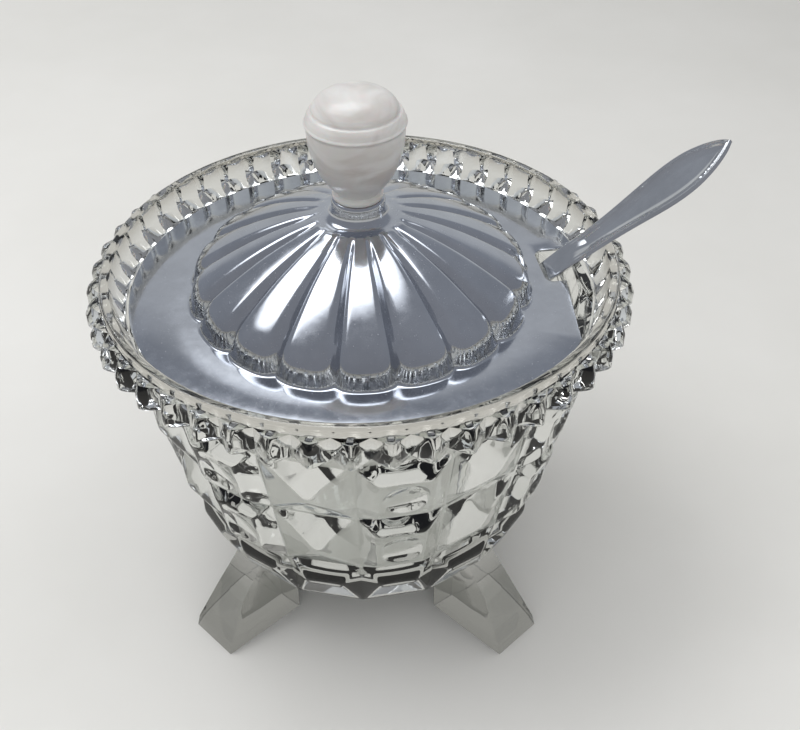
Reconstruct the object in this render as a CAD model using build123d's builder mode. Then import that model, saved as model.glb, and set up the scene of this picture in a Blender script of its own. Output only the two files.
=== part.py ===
from build123d import *
import os
from math import atan, cos, degrees, radians, sin, sqrt, tan

# Footed pressed-glass sugar jar with a lift-off chromed lid and a spoon, in millimetres.
# +Z is up, the origin is the centre of the plane that the four feet stand on, and the spoon's
# handle leans out towards +X.

# Glass jar: height of the base above the table, and of each level above the one before
base_height = 17.0
base_thickness = 5.0
skirt_rise = 14.8
lower_row_rise = 19.4
upper_row_rise = 18.3
neck_band_rise = 5.3
collar_rise = 1.9
tooth_rise = 3.3
tooth_bevel_rise = 2.0
lip_rise = 2.0
seat_drop = 7.8

# Glass jar: radii, and steps inwards from the ridges of the teeth
tooth_ridge_radius = 58.0
base_radius = 37.7
collar_overhang = 8.3
column_count = 16
tooth_count = 48
tooth_depth = 3.0
tooth_top_bevel = 0.7
tooth_foot_inset = 4.2
lip_setback = 3.2
lip_width = 2.1
lip_round = 0.8
lip_flare = 2.6
seat_width = 3.3
wall_gap = 2.1
floor_round = 7.0

# Raised cells on the body, as shares of the cell's half width and half height
groove_land = 0.15
cell_root = 0.4
button_raise = 3.05
button_width = 0.57
button_bottom = -0.61
button_top = 0.66
print_radius_share = 0.5
print_depth = 1.2
star_raise = 3.6
star_tip = 0.04
skirt_raise = 2.5
skirt_width = 0.5
skirt_bottom = 0.3
skirt_top = 0.4

# Feet, one every quarter turn
foot_count = 4
foot_turn = 45.0
foot_width = 13.2
foot_overhang = 12.6
foot_heel_depth = 8.2
foot_toe_height = 3.0
foot_toe_step = 0.7
foot_shin_drop = 4.9
foot_shin_overhang = 5.9
foot_top_overhang = 1.3
foot_bevel = 2.3
foot_toe_bevel = 0.4

# Lid, pressed from one sheet; heights are above the top of the flat margin
sheet = 0.7
lid_clearance = 0.4
shoulder_height = 17.5
shoulder_radius = 10.0
neck_radius = 5.6
neck_height = 4.5
neck_fillet = 1.0
valley_drop = 0.5
valley_knee_height = 5.6
valley_knee_run = 1.8
valley_setback = 3.0
finger_count = 18
finger_turn = 13.4
finger_notch_gap = 2.6

# Fingers of the lid, from the shoulder outwards: place and height of the crown, rounding of its
# two edges, and width as a share of the room that each finger has
finger_fill = 0.98
finger_root_distance = 9.6
finger_root_drop = 0.2
finger_root_round = 0.7
finger_middle_distance = 21.0
finger_middle_height = 13.3
finger_middle_round = 1.9
finger_bend_setback = 5.5
finger_bend_height = 7.6
finger_bend_round = 3.0
finger_nose_setback = 1.7
finger_nose_height = 4.2
finger_nose_round = 2.6
finger_nose_fill = 0.75
finger_foot_height = 0.6
finger_foot_round = 1.0
finger_foot_fill = 0.5

# Notch of the lid, with a flat trimmed off the margin on its near side
notch_turn = 9.3
notch_side_clearance = 2.5
notch_lead = 4.0
notch_corner_round = 2.0
trim_turn = 2.8
trim_lead = 0.7

# The flat margin is a ring of its own from here outwards, met on flat sides
margin_join_step = 0.5

# Knob, with heights above the neck of the lid
knob_height = 23.4
knob_collar_radius = 5.3
knob_collar_height = 1.2
knob_waist_radius = 4.8
knob_waist_height = 1.6
knob_radius = 10.0
knob_bead_height = 16.4
knob_bead_width = 0.8
knob_bead_raise = 0.3
knob_rim_height = 19.0
knob_rim_radius = 9.3
knob_groove_radius = 8.6
knob_groove_width = 0.7

# Screw that holds the knob
screw_radius = 2.0
screw_clearance = 0.05
screw_reach = 9.0
screw_head_radius = 3.6
screw_head_height = 1.8
screw_slot_width = 0.9
screw_slot_depth = 1.0

# Spoon; the handle crosses the level of the lid's margin at the pass point
spoon_lean = 42.5
spoon_roll = 8.0
spoon_tip_clearance = 1.44
pass_rise = 1.1
pass_side_shift = 0.6
handle_lip_rise = 2.06
handle_outside = 43.7
handle_thickness = 1.0
handle_width = 12.7
handle_widest = 13.2
handle_middle = 25.0
handle_middle_width = 10.2
handle_shoulder = 3.7
handle_shoulder_width = 7.1
handle_pass_width = 7.2
handle_border = 1.2
handle_panel_depth = 0.2
handle_panel_end = 5.0
neck_width = 4.6
neck_depth = 1.5
bowl_length = 40.0
bowl_width = 25.0
bowl_depth = 6.5
bowl_sheet = 1.0

# Levels of the jar
lower_row_height = base_height + skirt_rise
middle_row_height = lower_row_height + lower_row_rise
upper_row_height = middle_row_height + upper_row_rise
tooth_foot_height = upper_row_height + neck_band_rise
collar_height = tooth_foot_height + collar_rise
tooth_break_height = collar_height + tooth_rise
tooth_top_height = tooth_break_height + tooth_bevel_rise
lip_height = tooth_top_height + lip_rise
floor_height = base_height + base_thickness
seat_height = lip_height - seat_drop

# Radii of the jar
valley_radius = tooth_ridge_radius - tooth_depth
upper_row_radius = tooth_ridge_radius - collar_overhang
lip_outer_radius = tooth_ridge_radius - lip_setback
lip_inner_radius = lip_outer_radius - lip_width
seat_radius = lip_inner_radius - lip_flare
half_column = 180.0 / column_count
body_taper = (upper_row_radius - base_radius) / (upper_row_height - base_height)
body_slope = atan(body_taper * cos(radians(half_column)))

# Levels of the lid
margin_height = seat_height + sheet
shoulder_top = margin_height + shoulder_height
neck_top = shoulder_top + neck_height

# Where the spoon's handle passes over the lip and through the notch, and how far it reaches down
lean = radians(spoon_lean)
roll = radians(spoon_roll)
face_rise = handle_thickness / 2
pass_height = margin_height + pass_rise
pass_distance = lip_inner_radius - (lip_height + handle_lip_rise - pass_height) / tan(lean)
pass_offset = pass_distance * tan(radians(notch_turn)) - pass_side_shift
rim_rise = face_rise * cos(lean) * cos(roll)
spoon_inside = (pass_height + rim_rise - floor_height - spoon_tip_clearance) / sin(lean)

# Radii of the lid, from the jar's seat and from the notch
lid_radius = seat_radius - lid_clearance
notch_width = handle_pass_width + 2 * notch_side_clearance
notch_end_radius = pass_distance - notch_lead
finger_end = notch_end_radius - finger_notch_gap
valley_end_radius = finger_end - valley_setback
margin_join_distance = notch_end_radius + margin_join_step
trim_distance = pass_distance + trim_lead
valley_knee_radius = valley_end_radius - valley_knee_run


def body_radius(height):
    # Distance of a column's edge from the axis
    return base_radius + (height - base_height) * body_taper


def column_plane(height):
    # A plane on the flat side of the column at +X, x along its width and y up its slope
    apothem = body_radius(height) * cos(radians(half_column))
    return Plane(origin=(apothem, 0, height), x_dir=(0, 1, 0), z_dir=(cos(body_slope), 0, -sin(body_slope)))


def cell_face(low, high, width_share, bottom_share, top_share):
    # Corners of a shape in a cell, given as shares of the cell's half width and half height
    half_height = (high - low) / 2 / cos(body_slope) - groove_land
    middle = body_radius((low + high) / 2) * sin(radians(half_column)) - groove_land
    flare = (body_radius(high) - body_radius(low)) / 2 * sin(radians(half_column))
    bottom = (middle + flare * bottom_share) * width_share
    top = (middle + flare * top_share) * width_share
    bottom_rise = half_height * bottom_share
    top_rise = half_height * top_share
    return [(-bottom, bottom_rise), (bottom, bottom_rise), (top, top_rise), (-top, top_rise)]


def raised_cell(low, high, raise_by, width_share, bottom_share, top_share):
    # A block with four bevelled sides on one cell of the column at +X
    plane = column_plane((low + high) / 2)
    with BuildPart() as cell:
        with BuildSketch(plane.offset(-cell_root)):
            Polygon(*cell_face(low, high, 1, -1, 1), align=None)
        with BuildSketch(plane):
            Polygon(*cell_face(low, high, 1, -1, 1), align=None)
        with BuildSketch(plane.offset(raise_by)):
            Polygon(*cell_face(low, high, width_share, bottom_share, top_share), align=None)
        loft(ruled=True)
    return cell.part


def button_cell(low, high):
    # A raised cell with a round thumbprint sunk in its face
    plane = column_plane((low + high) / 2)
    print_radius = (high - low) / 2 * print_radius_share
    ball_radius = (print_radius**2 + print_depth**2) / (2 * print_depth)
    with BuildPart() as cell:
        add(raised_cell(low, high, button_raise, button_width, button_bottom, button_top))
        with Locations(plane.offset(button_raise - print_depth + ball_radius)):
            Sphere(ball_radius, mode=Mode.SUBTRACT)
    return cell.part


def star_cell(low, high):
    # A raised cell in the form of a four-sided pyramid
    return raised_cell(low, high, star_raise, star_tip, -star_tip, star_tip)


def star_outline(ridge_radius, valley_radius):
    # Outline of the ring of teeth, with a ridge at +X
    points = []
    for step in range(2 * tooth_count):
        radius = valley_radius if step % 2 else ridge_radius
        turn = radians(step * 180.0 / tooth_count)
        points.append((radius * cos(turn), radius * sin(turn)))
    return points


# Rows of cells, one cell of each on the column at +X
upper_button = button_cell(middle_row_height, upper_row_height)
upper_star = star_cell(middle_row_height, upper_row_height)
lower_button = button_cell(lower_row_height, middle_row_height)
lower_star = star_cell(lower_row_height, middle_row_height)
skirt_cell = raised_cell(base_height, lower_row_height, skirt_raise, skirt_width, skirt_bottom, skirt_top)

# One foot, lying along +X, with its two front edges cut back more towards the top
foot_reach = base_radius + foot_overhang
foot_heel_radius = base_radius - foot_heel_depth
foot_top_radius = base_radius + foot_top_overhang
with BuildPart() as foot:
    with BuildSketch(Plane.XZ):
        Polygon(
            (foot_heel_radius, 0),
            (foot_reach, 0),
            (foot_reach - foot_toe_step, foot_toe_height),
            (base_radius + foot_shin_overhang, base_height - foot_shin_drop),
            (foot_top_radius, base_height),
            (base_radius - cell_root - groove_land, base_height + cell_root),
            (foot_heel_radius, base_height + cell_root),
            align=None,
        )
    extrude(amount=foot_width / 2, both=True)
    for side in (1, -1):
        toe_point = Vector(foot_reach - foot_toe_bevel, side * foot_width / 2, 0)
        face_point = Vector(foot_top_radius, side * (foot_width / 2 - foot_bevel), base_height)
        side_point = Vector(foot_top_radius - foot_bevel, side * foot_width / 2, base_height)
        inward = (face_point - toe_point).cross(side_point - toe_point) * side
        split(bisect_by=Plane(origin=toe_point, z_dir=inward), keep=Keep.TOP)

# The glass: body, rows of cells, collar of teeth, lip and feet in one moulding
with BuildPart() as glass_jar:
    with BuildSketch(Plane.XY.offset(base_height)):
        RegularPolygon(base_radius, column_count)
    extrude(amount=tooth_foot_height - base_height + cell_root, taper=-degrees(body_slope))
    with PolarLocations(0, column_count, start_angle=half_column):
        add(skirt_cell)
    with PolarLocations(0, column_count // 2, start_angle=half_column):
        add(lower_button)
        add(upper_button)
    with PolarLocations(0, column_count // 2, start_angle=3 * half_column):
        add(lower_star)
        add(upper_star)
    with PolarLocations(0, foot_count, start_angle=foot_turn):
        add(foot.part)
    # Collar of teeth
    with BuildSketch(Plane.XY.offset(tooth_foot_height)):
        foot_ridge = tooth_ridge_radius - tooth_foot_inset
        foot_valley = valley_radius - tooth_foot_inset / 2
        Polygon(*star_outline(foot_ridge, foot_valley), align=None)
    with BuildSketch(Plane.XY.offset(collar_height)):
        Polygon(*star_outline(tooth_ridge_radius, valley_radius), align=None)
    with BuildSketch(Plane.XY.offset(tooth_break_height)):
        Polygon(*star_outline(tooth_ridge_radius, valley_radius), align=None)
    with BuildSketch(Plane.XY.offset(tooth_top_height)):
        Polygon(*star_outline(tooth_ridge_radius - tooth_top_bevel, valley_radius), align=None)
    loft(ruled=True)
    # Lip
    with BuildSketch(Plane.XY.offset(tooth_top_height)):
        Circle(lip_outer_radius)
    extrude(amount=lip_height - tooth_top_height)
    fillet(glass_jar.faces().sort_by(Axis.Z)[-1].edges(), radius=lip_round)
    # Inside, with a seat for the lid
    with BuildSketch(Plane.XZ) as inside:
        floor_radius = body_radius(floor_height) * cos(radians(half_column)) - wall_gap
        Polygon(
            (0, floor_height),
            (floor_radius, floor_height),
            (seat_radius - seat_width, seat_height),
            (seat_radius, seat_height),
            (lip_inner_radius, lip_height),
            (lip_inner_radius, lip_height + 1),
            (0, lip_height + 1),
            align=None,
        )
        fillet(inside.vertices().group_by(Axis.Y)[0].sort_by(Axis.X)[-1], radius=floor_round)
    revolve(axis=Axis.Z, mode=Mode.SUBTRACT)
glass_jar.part.label = "glass_jar"


def finger_section(inset, distance, fill, crown, rounding):
    # Cross-section of a finger at a distance from the axis, with a rounded crown
    half = distance * tan(radians(180.0 / finger_count)) * fill - inset
    top = margin_height + crown - inset
    edge = rounding - inset / 2
    low = seat_height - sheet
    with BuildSketch(Plane(origin=(distance, 0, 0), x_dir=(0, 1, 0), z_dir=(1, 0, 0))) as section:
        with BuildLine():
            Line((-half, low), (-half, top - edge))
            RadiusArc((-half, top - edge), (edge - half, top), edge)
            Line((edge - half, top), (half - edge, top))
            RadiusArc((half - edge, top), (half, top - edge), edge)
            Polyline((half, top - edge), (half, low), (-half, low))
        make_face()
    return section.sketch


def lid_finger(inset):
    # One finger at +X: a crown that widens and falls outwards, and a rounded end on the margin
    root = finger_root_distance + inset
    middle = finger_middle_distance - inset
    end = finger_end - inset
    bend = end - finger_bend_setback
    nose = end - finger_nose_setback
    root_height = shoulder_height - finger_root_drop
    with BuildPart() as finger:
        add(finger_section(inset, root, finger_fill, root_height, finger_root_round))
        add(finger_section(inset, middle, finger_fill, finger_middle_height, finger_middle_round))
        add(finger_section(inset, bend, finger_fill, finger_bend_height, finger_bend_round))
        add(finger_section(inset, nose, finger_nose_fill, finger_nose_height, finger_nose_round))
        add(finger_section(inset, end, finger_foot_fill, finger_foot_height, finger_foot_round))
        loft(ruled=True)
    return finger.part


# Dome of the lid between the fingers, with its shoulder and neck
neck_foot = neck_radius + neck_fillet
with BuildSketch() as dome_outline:
    with BuildLine():
        Polyline(
            (0, seat_height - sheet),
            (valley_end_radius, seat_height - sheet),
            (valley_end_radius, margin_height),
            (valley_knee_radius, margin_height + valley_knee_height),
            (shoulder_radius, shoulder_top - valley_drop),
            (shoulder_radius - valley_drop, shoulder_top),
            (neck_foot, shoulder_top),
        )
        RadiusArc((neck_foot, shoulder_top), (neck_radius, shoulder_top + neck_fillet), neck_fillet)
        Polyline((neck_radius, shoulder_top + neck_fillet), (neck_radius, neck_top), (0, neck_top))
        mirror(about=Plane.YZ)
    make_face()

# Outline where the dome's plate meets the margin, with one flat side across the notch
notch_line = (cos(radians(notch_turn)), sin(radians(notch_turn)), 0)
notch_plane = Plane(origin=(0, 0, seat_height), x_dir=notch_line, z_dir=(0, 0, 1))
with BuildSketch(notch_plane) as join_outline:
    RegularPolygon(margin_join_distance, finger_count, major_radius=False, rotation=180.0 / finger_count)

# Outline of the notch, open outwards, with its two inner corners rounded
with BuildSketch(notch_plane) as notch_outline:
    with Locations((notch_end_radius, 0)):
        Rectangle(lid_radius, notch_width, align=(Align.MIN, Align.CENTER))
    fillet(notch_outline.vertices().sort_by(SortBy.DISTANCE)[:2], radius=notch_corner_round)

# Lid: dome, fingers and the plate around them, hollow underneath, with the screw's hole
with BuildPart() as lid:
    with BuildSketch(Plane.XZ):
        add(dome_outline.sketch)
        split(bisect_by=Plane.YZ, keep=Keep.TOP)
    revolve(axis=Axis.Z)
    with PolarLocations(0, finger_count, start_angle=finger_turn):
        add(lid_finger(0))
    split(bisect_by=Plane.XY.offset(seat_height), keep=Keep.TOP)
    add(join_outline.sketch)
    extrude(amount=sheet)
    with BuildSketch(Plane.XZ):
        add(dome_outline.sketch)
        offset(amount=-sheet, kind=Kind.INTERSECTION)
        split(bisect_by=Plane.YZ, keep=Keep.TOP)
    revolve(axis=Axis.Z, mode=Mode.SUBTRACT)
    with PolarLocations(0, finger_count, start_angle=finger_turn):
        add(lid_finger(sheet), mode=Mode.SUBTRACT)
    add(notch_outline.sketch)
    extrude(amount=sheet, mode=Mode.SUBTRACT)
    with BuildSketch(Plane.XY.offset(neck_top)):
        Circle(screw_radius + screw_clearance)
    extrude(amount=-sheet, mode=Mode.SUBTRACT)
lid.part.label = "lid"

# Margin of the lid: a flat ring, open at the notch and trimmed flat beside it
with BuildPart() as lid_margin:
    with BuildSketch(Plane.XY.offset(seat_height)):
        Circle(lid_radius)
    extrude(amount=sheet)
    add(join_outline.sketch)
    extrude(amount=sheet, mode=Mode.SUBTRACT)
    add(notch_outline.sketch)
    extrude(amount=sheet, mode=Mode.SUBTRACT)
    trim_line = (cos(radians(trim_turn)), sin(radians(trim_turn)), 0)
    with BuildSketch(Plane(origin=(0, 0, seat_height), x_dir=trim_line, z_dir=(0, 0, 1))):
        with Locations((trim_distance, notch_width / 4)):
            Rectangle(lid_radius, lid_radius, align=(Align.MIN, Align.MAX))
    extrude(amount=sheet, mode=Mode.SUBTRACT)
lid_margin.part.label = "lid_margin"

# Knob: collar, bulb, bead, groove and cap, bored for the screw
with BuildPart() as knob:
    with BuildSketch(Plane.XZ):
        with BuildLine():
            cap_height = knob_rim_height + knob_groove_width
            bead_top = knob_bead_height + knob_bead_width
            Polyline(
                (0, neck_top),
                (knob_collar_radius, neck_top),
                (knob_collar_radius, neck_top + knob_collar_height),
                (knob_waist_radius, neck_top + knob_waist_height),
            )
            Spline(
                (knob_waist_radius, neck_top + knob_waist_height),
                (knob_radius * 0.9, neck_top + knob_bead_height * 0.56),
                (knob_radius, neck_top + knob_bead_height),
                tangents=((0.75, 1), (0.05, 1)),
            )
            ThreePointArc(
                (knob_radius, neck_top + knob_bead_height),
                (knob_radius + knob_bead_raise, neck_top + (knob_bead_height + bead_top) / 2),
                (knob_radius, neck_top + bead_top),
            )
            Polyline(
                (knob_radius, neck_top + bead_top),
                (knob_rim_radius, neck_top + knob_rim_height),
                (knob_groove_radius, neck_top + knob_rim_height),
                (knob_groove_radius, neck_top + cap_height),
            )
            Spline(
                (knob_groove_radius, neck_top + cap_height),
                (0, neck_top + knob_height),
                tangents=((-0.15, 1), (-1, 0)),
            )
            Line((0, neck_top + knob_height), (0, neck_top))
        make_face()
    revolve(axis=Axis.Z)
    with BuildSketch(Plane.XY.offset(neck_top)):
        Circle(screw_radius + screw_clearance)
    extrude(amount=screw_reach + screw_clearance, mode=Mode.SUBTRACT)
knob.part.label = "knob"

# Screw: slotted head under the top of the neck, shank up into the knob
head_top = neck_top - sheet
with BuildPart() as knob_screw:
    with BuildSketch(Plane.XY.offset(head_top)):
        Circle(screw_head_radius)
    extrude(amount=-screw_head_height)
    fillet(knob_screw.faces().sort_by(Axis.Z)[0].edges(), radius=screw_head_height / 3)
    with BuildSketch(Plane.XY.offset(head_top)):
        Circle(screw_radius)
    extrude(amount=sheet + screw_reach)
    with BuildSketch(Plane.XY.offset(head_top - screw_head_height)):
        Rectangle(2 * screw_head_radius, screw_slot_width)
    extrude(amount=screw_slot_depth, mode=Mode.SUBTRACT)
knob_screw.part.label = "knob_screw"

# Spoon's own planes at the pass point: seen from above, and seen from its near edge
along = Vector(cos(lean), 0, sin(lean))
level = Vector(0, 1, 0)
lift = Vector(-sin(lean), 0, cos(lean))
pass_point = Vector(pass_distance, pass_offset, pass_height)
top_plane = Plane(origin=pass_point, x_dir=along, z_dir=lift * cos(roll) - level * sin(roll))
side_plane = Plane(origin=pass_point, x_dir=along, z_dir=-(level * cos(roll) + lift * sin(roll)))
bowl_heel = bowl_length - spoon_inside
bowl_middle = bowl_heel - bowl_length / 2


def bowl_form(inset):
    # The bowl as part of a ring-like form, cut off level with the handle's upper face
    curve_radius = ((bowl_length / 2) ** 2 + bowl_depth**2) / (2 * bowl_depth)
    axis_rise = ((bowl_width / 2) ** 2 - bowl_depth**2) / (2 * bowl_depth)
    axis_height = face_rise + axis_rise
    half_chord = sqrt((curve_radius - inset) ** 2 - (curve_radius - bowl_depth - axis_rise) ** 2)
    with BuildPart() as form:
        with BuildSketch(side_plane):
            with BuildLine():
                ThreePointArc(
                    (bowl_middle - half_chord, axis_height),
                    (bowl_middle, face_rise - bowl_depth + inset),
                    (bowl_middle + half_chord, axis_height),
                )
                Line((bowl_middle + half_chord, axis_height), (bowl_middle - half_chord, axis_height))
            make_face()
        revolve(axis=Axis(side_plane.from_local_coords((bowl_middle, axis_height, 0)), along))
        split(bisect_by=top_plane.offset(face_rise), keep=Keep.BOTTOM)
    return form.part


def handle_outline(start, start_width, inset):
    # Outline of the outer handle from a start point to its tip, seen from above, shrunk by the inset
    with BuildSketch() as outline:
        with BuildLine():
            Spline(
                (start, start_width / 2 - inset),
                (handle_outside - handle_middle, handle_middle_width / 2 - inset),
                (handle_outside - handle_widest, handle_width / 2 - inset),
                (handle_outside - handle_shoulder - inset, handle_shoulder_width / 2 - inset),
                (handle_outside - 1.6 * inset, 0),
                tangents=((1, 0.03), (1, -1)),
            )
            Line((start, start_width / 2 - inset), (start, 0))
            mirror(about=Plane.XZ)
        make_face()
    return outline.sketch


# Spoon: handle with a sunk panel, neck that thickens towards the bowl, and the bowl
with BuildPart() as spoon:
    with BuildSketch(top_plane):
        add(handle_outline(0, handle_pass_width, 0))
        with BuildLine():
            neck_end = (bowl_heel - bowl_sheet, neck_width / 2)
            Spline((0, handle_pass_width / 2), neck_end, tangents=((-1, -0.03), (-1, 0)))
            Polyline(neck_end, (bowl_heel - bowl_sheet, 0), (0, 0), (0, handle_pass_width / 2))
        make_face()
        mirror(about=Plane.XZ)
    extrude(amount=neck_depth, both=True)
    with BuildSketch(side_plane):
        with BuildLine():
            Line((handle_outside, -face_rise), (0, -face_rise))
            Spline(
                (0, -face_rise),
                (bowl_heel * 0.7, face_rise - neck_depth),
                (bowl_heel - bowl_sheet, -face_rise),
                tangents=((-1, 0), (-1, 0.1)),
            )
            Polyline(
                (bowl_heel - bowl_sheet, -face_rise),
                (bowl_heel - bowl_sheet, face_rise),
                (handle_outside, face_rise),
                (handle_outside, -face_rise),
            )
        make_face()
    extrude(amount=handle_width, both=True, mode=Mode.INTERSECT)
    with BuildSketch(top_plane.offset(face_rise)):
        add(handle_outline(handle_panel_end, handle_pass_width, handle_border))
    extrude(amount=-handle_panel_depth, mode=Mode.SUBTRACT)
    add(bowl_form(0))
    add(bowl_form(bowl_sheet), mode=Mode.SUBTRACT)
spoon.part.label = "spoon"

os.makedirs("parts", exist_ok=True)
for piece in (glass_jar, lid, lid_margin, knob, knob_screw, spoon):
    export_step(piece.part, "parts/" + piece.part.label + ".step")
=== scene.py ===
import math

import bmesh
import bpy
import numpy as np
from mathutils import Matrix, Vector
from mathutils.geometry import delaunay_2d_cdt


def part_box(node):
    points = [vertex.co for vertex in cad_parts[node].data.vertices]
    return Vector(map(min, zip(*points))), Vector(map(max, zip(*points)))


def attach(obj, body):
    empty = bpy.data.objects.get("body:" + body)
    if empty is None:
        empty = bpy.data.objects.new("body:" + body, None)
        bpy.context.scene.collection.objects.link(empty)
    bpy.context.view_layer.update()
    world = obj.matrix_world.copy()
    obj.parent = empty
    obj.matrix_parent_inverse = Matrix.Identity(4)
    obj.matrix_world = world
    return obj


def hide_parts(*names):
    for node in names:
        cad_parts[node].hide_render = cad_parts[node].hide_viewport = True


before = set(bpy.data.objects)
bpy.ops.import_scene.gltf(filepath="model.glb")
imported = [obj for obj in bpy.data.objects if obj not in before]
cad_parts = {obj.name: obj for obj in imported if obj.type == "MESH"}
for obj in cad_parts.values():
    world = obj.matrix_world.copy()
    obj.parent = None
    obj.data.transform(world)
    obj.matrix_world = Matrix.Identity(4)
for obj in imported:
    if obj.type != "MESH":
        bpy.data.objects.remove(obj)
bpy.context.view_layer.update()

# Footed pressed-glass sugar jar with its chromed lid, knob and spoon, dressed for rendering.
# Shapes are worked out in millimetres in the part's own frame and written in metres.

MM = 0.001

jar_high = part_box("glass_jar")[1]
lid_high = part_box("lid")[1]
margin_low, margin_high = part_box("lid_margin")
knob_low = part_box("knob")[0]

# Sizes of the jar, in millimetres
lip_height = jar_high.z / MM
tooth_ridge_radius = jar_high.x / MM
column_count = 16
teeth_per_column = 3
samples_per_column = 48
base_height = 17.0
base_radius = 37.7
lower_row_height = 31.8
middle_row_height = 51.2
upper_row_height = 69.5
upper_row_radius = 49.7
tooth_foot_height = 74.8
collar_height = 76.7
tooth_break_height = 80.0
tooth_top_height = 82.0
tooth_depth = 3.0
tooth_top_bevel = 0.7
tooth_foot_inset = 4.2
lip_inner_radius = 52.7
lip_outer_radius = 54.8
lip_round = 0.8
seat_radius = 50.1
seat_width = 3.3
floor_height = 22.0
floor_round = 7.0
wall_gap = 2.1
half_column = math.pi / column_count
body_taper = (upper_row_radius - base_radius) / (upper_row_height - base_height)
body_slope = math.atan(body_taper * math.cos(half_column))

# Sizes of the lid, in millimetres; heights are above the top of the flat margin
sheet = 0.7
margin_top = margin_high.z / MM
lid_radius = -margin_low.x / MM
neck_top = lid_high.z / MM - margin_top
neck_radius = 5.6
shoulder_height = 17.5
shoulder_radius = 10.0
valley_height = 17.0
knee_radius = 32.5
knee_height = 5.6
valley_end_radius = 34.3
finger_count = 18
finger_turn = 13.4
finger_root_radius = 9.6
finger_bend_radius = 31.5
finger_fill = 0.98
crown_at = [9.6, 15.0, 21.0, 26.5, 31.5, 34.0, 36.0, 38.0]
crown_height = [17.35, 15.75, 13.4, 10.7, 7.8, 6.0, 4.2, 2.0]
crown_round = [0.7, 1.0, 1.3, 1.6, 1.8, 1.5, 1.2, 1.2]
crown_bow = 0.022
nose_power = 2.7
nose_squeeze = 1.2
side_draft = 0.35
dome_blend = 1.5
shoulder_blend = 0.4
finger_blend = 0.45
margin_blend = 0.8
plate_inner_radius = 39.3
notch_turn = 9.3
notch_width = 12.2
notch_end_radius = 39.9
notch_corner_round = 2.0
trim_turn = 2.8
trim_distance = 44.6

# The lid's dome is traced by rays from a point of the axis below the margin
trace_height = -22.0
trace_near = 5.0
trace_far = 80.0
trace_halvings = 40
trace_first_radius = 8.0
trace_fine_radius = 30.0
trace_fine_rise = 26.0
columns_per_finger = 28
outer_rows = 110
inner_rows = 70
outline_steps = 300
corner_steps = 12
screw_hole_radius = 2.05
shell_weld = 0.002
lid_sharp_angle = 40


def smooth_line(points, per_span):
    # A smooth curve through the given points, with the given steps from each to the next
    points = np.array(points, float)
    padded = np.vstack([2 * points[0] - points[1], points, 2 * points[-1] - points[-2]])
    line = []
    for k in range(1, len(padded) - 2):
        p0, p1, p2, p3 = padded[k - 1 : k + 3]
        for t in np.linspace(0, 1, per_span, endpoint=False):
            bend = 2 * p0 - 5 * p1 + 4 * p2 - p3
            twist = 3 * p1 - p0 - 3 * p2 + p3
            line.append(0.5 * (2 * p1 + (p2 - p0) * t + bend * t**2 + twist * t**3))
    line.append(points[-1])
    return line


crown_line = np.array(smooth_line(list(zip(crown_at, crown_height)), 10))


def new_object(name, points, faces, smooth_angle=None):
    # A mesh object from points in millimetres
    mesh = bpy.data.meshes.new(name)
    mesh.from_pydata([tuple(p) for p in np.asarray(points) * MM], [], [tuple(f) for f in faces])
    mesh.update()
    piece = bpy.data.objects.new(name, mesh)
    bpy.context.scene.collection.objects.link(piece)
    mesh.shade_smooth()
    if smooth_angle is not None:
        mesh.set_sharp_from_angle(angle=math.radians(smooth_angle))
    return piece


def recalculate_normals(piece, merge_distance=0.0):
    # Weld points that lie together and turn all faces outwards
    work = bmesh.new()
    work.from_mesh(piece.data)
    if merge_distance:
        bmesh.ops.remove_doubles(work, verts=work.verts, dist=merge_distance * MM)
    bmesh.ops.recalc_face_normals(work, faces=work.faces)
    work.to_mesh(piece.data)
    work.free()


def ring_grid(rows, columns):
    # Faces of a grid of points, row by row, closed around each row
    faces = []
    for row in range(rows - 1):
        low, high = row * columns, (row + 1) * columns
        for column in range(columns):
            after = (column + 1) % columns
            faces.append((low + column, low + after, high + after, high + column))
    return faces


def soft_min(a, b, width):
    # The smaller of two fields, rounded off where they meet
    blend = np.clip(0.5 + 0.5 * (b - a) / width, 0, 1)
    return b + (a - b) * blend - width * blend * (1 - blend)


def soft_max(a, b, width):
    return -soft_min(-a, -b, width)


def polar(radius, turn, height):
    return np.stack([radius * np.cos(turn), radius * np.sin(turn), height + 0 * radius], -1)


def circle(radius, height, turn):
    # A level circle of points around the axis
    return polar(np.full_like(turn, radius), turn, height)


def turned(points, angle):
    c, s = math.cos(angle), math.sin(angle)
    return points @ np.array([[c, s, 0], [-s, c, 0], [0, 0, 1]])


# Glass jar

edge_round = 0.55
groove_round = 0.12
button_raise = 3.05
star_raise = 3.6
skirt_raise = 2.5
# Where each block's flat face ends: shares of the half width, and of the half height below and above
button_face = (0.57, -0.61, 0.66)
star_face = (0.02, -0.02, 0.02)
skirt_face = (0.5, 0.3, 0.4)
print_share = 0.5
print_depth = 1.2
print_rise = 0.2
print_round = 0.25
row_step = 0.4
ridge_round = 0.02
plain_heights = (70.4, 71.6, 73.0, 74.2)
tooth_foot_round = 0.6
tooth_edge = 0.3
lip_steps = 6
lip_overlap = 0.05
inner_round_share = 0.9
wall_steps = 15
centre_radius = 0.8
base_circles = (centre_radius, 9.0, 18.0, 27.0, 34.0)
jar_sharp_angle = 35


def body_radius(height):
    return base_radius + (height - base_height) * body_taper


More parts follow.
